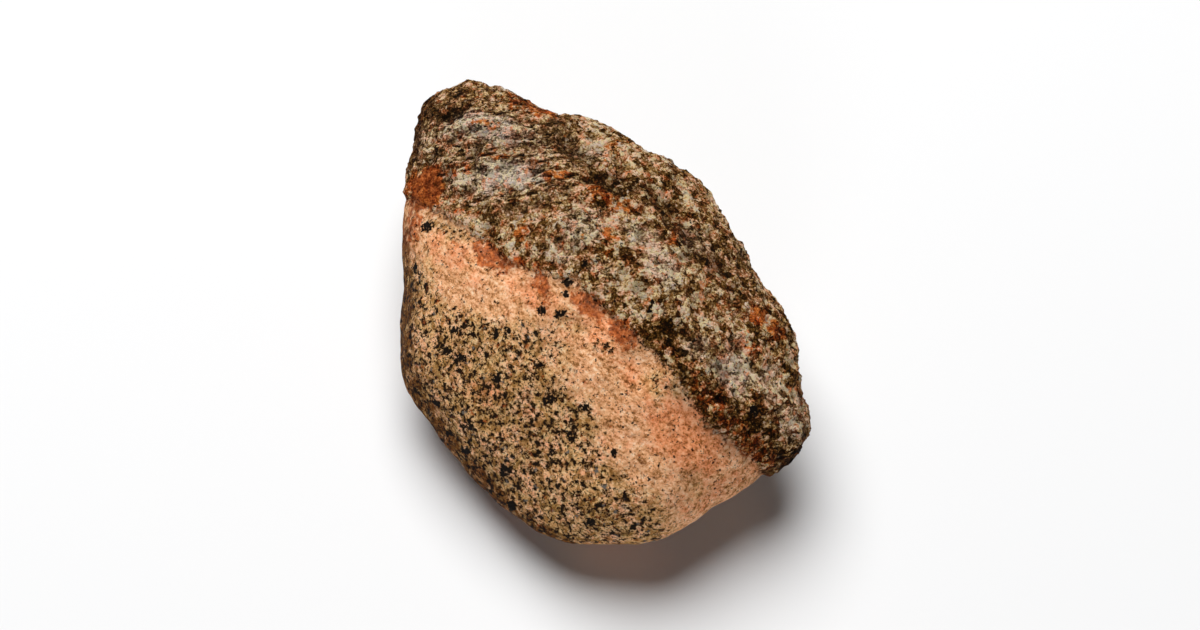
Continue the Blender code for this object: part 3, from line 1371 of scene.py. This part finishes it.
    def build(self) -> bpy.types.Material:
        """Makes the material.

        Returns:
            The material, ready to be assigned.
        """
        material = bpy.data.materials.new("stone_grain")
        material.use_nodes = True
        bench = NodeBench(material.node_tree)
        shader = material.node_tree.nodes["Principled BSDF"]
        point = bench.scaled(bench.add("TexCoord").outputs["Object"], 1 / MM)
        finish, rust = self.surface, self.rust
        is_gneiss = bench.frayed(point, Zone.CONTACT, finish.contact_edge)
        gneiss, grain_height = self.gneiss_colour(bench, point)
        granite, mica = self.granite_colour(bench, point)

        stain = bench.nudge(bench.zone(Zone.RUST), bench.cloud(point, rust.wisps), rust.wisp_reach)
        flecks = bench.ramp(bench.cloud(point, rust.flecks), rust.stops)
        washed = bench.mix(bench.ease(stain, *rust.wash_onset), gneiss, rust.wash, "MULTIPLY")
        on_gneiss = bench.ease(stain, *rust.gneiss_onset)
        on_gneiss = bench.math("MULTIPLY", on_gneiss, rust.gneiss_strength)
        on_granite = bench.ease(stain, *rust.granite_onset)
        on_granite = bench.math("MULTIPLY", on_granite, rust.granite_strength)
        rusty_gneiss = bench.mix(on_gneiss, washed, flecks)
        rusty_granite = bench.mix(on_granite, granite, flecks)
        colour = bench.mix(is_gneiss, rusty_granite, rusty_gneiss)

        clot = bench.frayed(point, Zone.CLOT, finish.clot_edge)
        colour = bench.mix(clot, colour, finish.clot)
        # Painted shade on the rims and on skin that turns down and away.
        rim_shade = bench.frayed(point, Zone.RIM_SHADE, finish.rim_shade_edge)
        colour = bench.mix(rim_shade, colour, finish.rim_shade, "MULTIPLY")
        # Painted shade in the relief's hollows.
        relief_shade = bench.ease(bench.zone(Zone.RELIEF_SHADE), *finish.relief_shade_onset)
        relief_shade = bench.math("MULTIPLY", relief_shade, finish.relief_shade_strength)
        bench.feed(shader.inputs["Base Color"], bench.mix(relief_shade, colour, finish.relief_shade))

        glossy = bench.math("MAXIMUM", mica, clot)
        roughness = bench.blend(glossy, finish.stone_roughness, finish.mica_roughness)
        bench.feed(shader.inputs["Roughness"], roughness)
        shader.inputs["Specular IOR Level"].default_value = finish.specular

        grit = bench.cloud(point, finish.grit)
        rough_height = bench.math("MULTIPLY", grit, finish.gneiss_grit)
        rough_height = bench.nudge(rough_height, grain_height, finish.gneiss_grain)
        fine_height = bench.math("MULTIPLY", grit, finish.granite_grit)
        fine_height = bench.nudge(fine_height, mica, finish.mica_height)
        bump = bench.add("Bump")
        bench.feed(bump.inputs["Height"], bench.blend(is_gneiss, fine_height, rough_height))
        bump.inputs["Distance"].default_value = MM
        bump.inputs["Strength"].default_value = 1.0
        bench.feed(shader.inputs["Normal"], bump.outputs["Normal"])
        return material


@dataclass(frozen=True)
class Lamp:
    """A round soft light that hangs at its distance from the stone and faces it.

    Its azimuth is in degrees from +Y towards -X, and its elevation in degrees above the floor.
    """

    name: str
    azimuth: float
    elevation: float
    size: float
    power: float
    colour: tuple[float, float, float] = (1.0, 1.0, 1.0)
    distance: float = 1500.0

    def hang(self) -> None:
        """Adds the light to the scene."""
        data = bpy.data.lights.new(self.name, "AREA")
        data.shape = "DISK"
        data.size = self.size * MM
        data.energy = self.power
        data.color = self.colour
        lamp = bpy.data.objects.new(self.name, data)
        azimuth, rise = math.radians(self.azimuth), math.radians(self.elevation)
        level = math.cos(rise)
        away = Vector((-math.sin(azimuth) * level, math.cos(azimuth) * level, math.sin(rise)))
        lamp.location = away * self.distance * MM
        lamp.rotation_euler = away.to_track_quat("Z", "Y").to_euler()
        bpy.context.scene.collection.objects.link(lamp)


@dataclass
class Studio:
    """A plain pale floor, a soft key light above the back, a weak fill in front, and the camera.

    The haze is read at the floor's own coordinates, so its size alone is in metres.
    """

    aim: tuple[float, float, float] = (-0.7, -1.8, 28.0)
    elevation: float = 65.0
    distance: float = 775.0
    lens: float = 100.0
    near: float = 10.0
    floor_half: float = 3000.0
    floor_colour: Colour = (0.80, 0.80, 0.80, 1.0)
    floor_roughness: float = 0.95
    floor_specular: float = 0.05
    haze: Cloud = Cloud(0.3, 2.0, 0.5)
    haze_shade: float = 0.99
    lamps: tuple[Lamp, ...] = (
        Lamp("key", 14.0, 63.5, size=2080.0, power=95.0, distance=2500.0),
        Lamp("fill", 176.0, 10.0, size=600.0, power=6.4, colour=(0.94, 0.98, 1.06)),
    )
    sky: float = 0.012

    def floor(self) -> None:
        """Lays the floor under the stone."""
        bm = bmesh.new()
        bmesh.ops.create_grid(bm, x_segments=1, y_segments=1, size=self.floor_half * MM)
        mesh = bpy.data.meshes.new("floor")
        bm.to_mesh(mesh)
        bm.free()
        material = bpy.data.materials.new("pale_floor")
        material.use_nodes = True
        bench = NodeBench(material.node_tree)
        shader = material.node_tree.nodes["Principled BSDF"]
        shaded = (*(channel * self.haze_shade for channel in self.floor_colour[:3]), 1.0)
        haze = bench.cloud(bench.add("TexCoord").outputs["Object"], self.haze)
        bench.feed(shader.inputs["Base Color"], bench.mix(haze, self.floor_colour, shaded))
        shader.inputs["Roughness"].default_value = self.floor_roughness
        shader.inputs["Specular IOR Level"].default_value = self.floor_specular
        mesh.materials.append(material)
        floor = bpy.data.objects.new("floor", mesh)
        bpy.context.scene.collection.objects.link(floor)
        log.info("floor laid")

    def lights(self) -> None:
        """Hangs the lights and sets the pale surroundings."""
        for lamp in self.lamps:
            lamp.hang()
        world = bpy.data.worlds.new("studio")
        world.use_nodes = True
        bench = NodeBench(world.node_tree)
        background = world.node_tree.nodes["Background"]
        path = bench.add("LightPath")
        strength = bench.blend(path.outputs["Is Camera Ray"], self.sky, 1.0)
        bench.feed(background.inputs["Strength"], strength)
        background.inputs["Color"].default_value = (1.0, 1.0, 1.0, 1.0)
        bpy.context.scene.world = world
        log.info("lights hung")

    def set_camera(self) -> None:
        """Stands the camera in front of the stone, looking down at it."""
        data = bpy.data.cameras.new("camera")
        data.lens = self.lens
        data.clip_start = self.near * MM
        rise = math.radians(self.elevation)
        back = Vector((0.0, -math.cos(rise), math.sin(rise)))
        camera = bpy.data.objects.new("camera", data)
        camera.location = (Vector(self.aim) + back * self.distance) * MM
        camera.rotation_euler = (math.pi / 2 - rise, 0.0, 0.0)
        bpy.context.scene.collection.objects.link(camera)
        bpy.context.scene.camera = camera
        bpy.context.scene.view_settings.view_transform = "Standard"
        log.info("camera set")

    def build(self) -> None:
        """Builds the floor, the lights and the camera."""
        self.floor()
        self.lights()
        self.set_camera()


def main() -> None:
    """Builds the stone, dresses it and sets the studio round it."""
    logging.basicConfig(level=logging.INFO, format="%(name)s: %(message)s")
    skin = StoneSkin().build()
    skin.data.materials.clear()
    skin.data.materials.append(StoneMaterial(StoneEffects()).build())
    Studio().build()


if __name__ == "__main__":
    main()
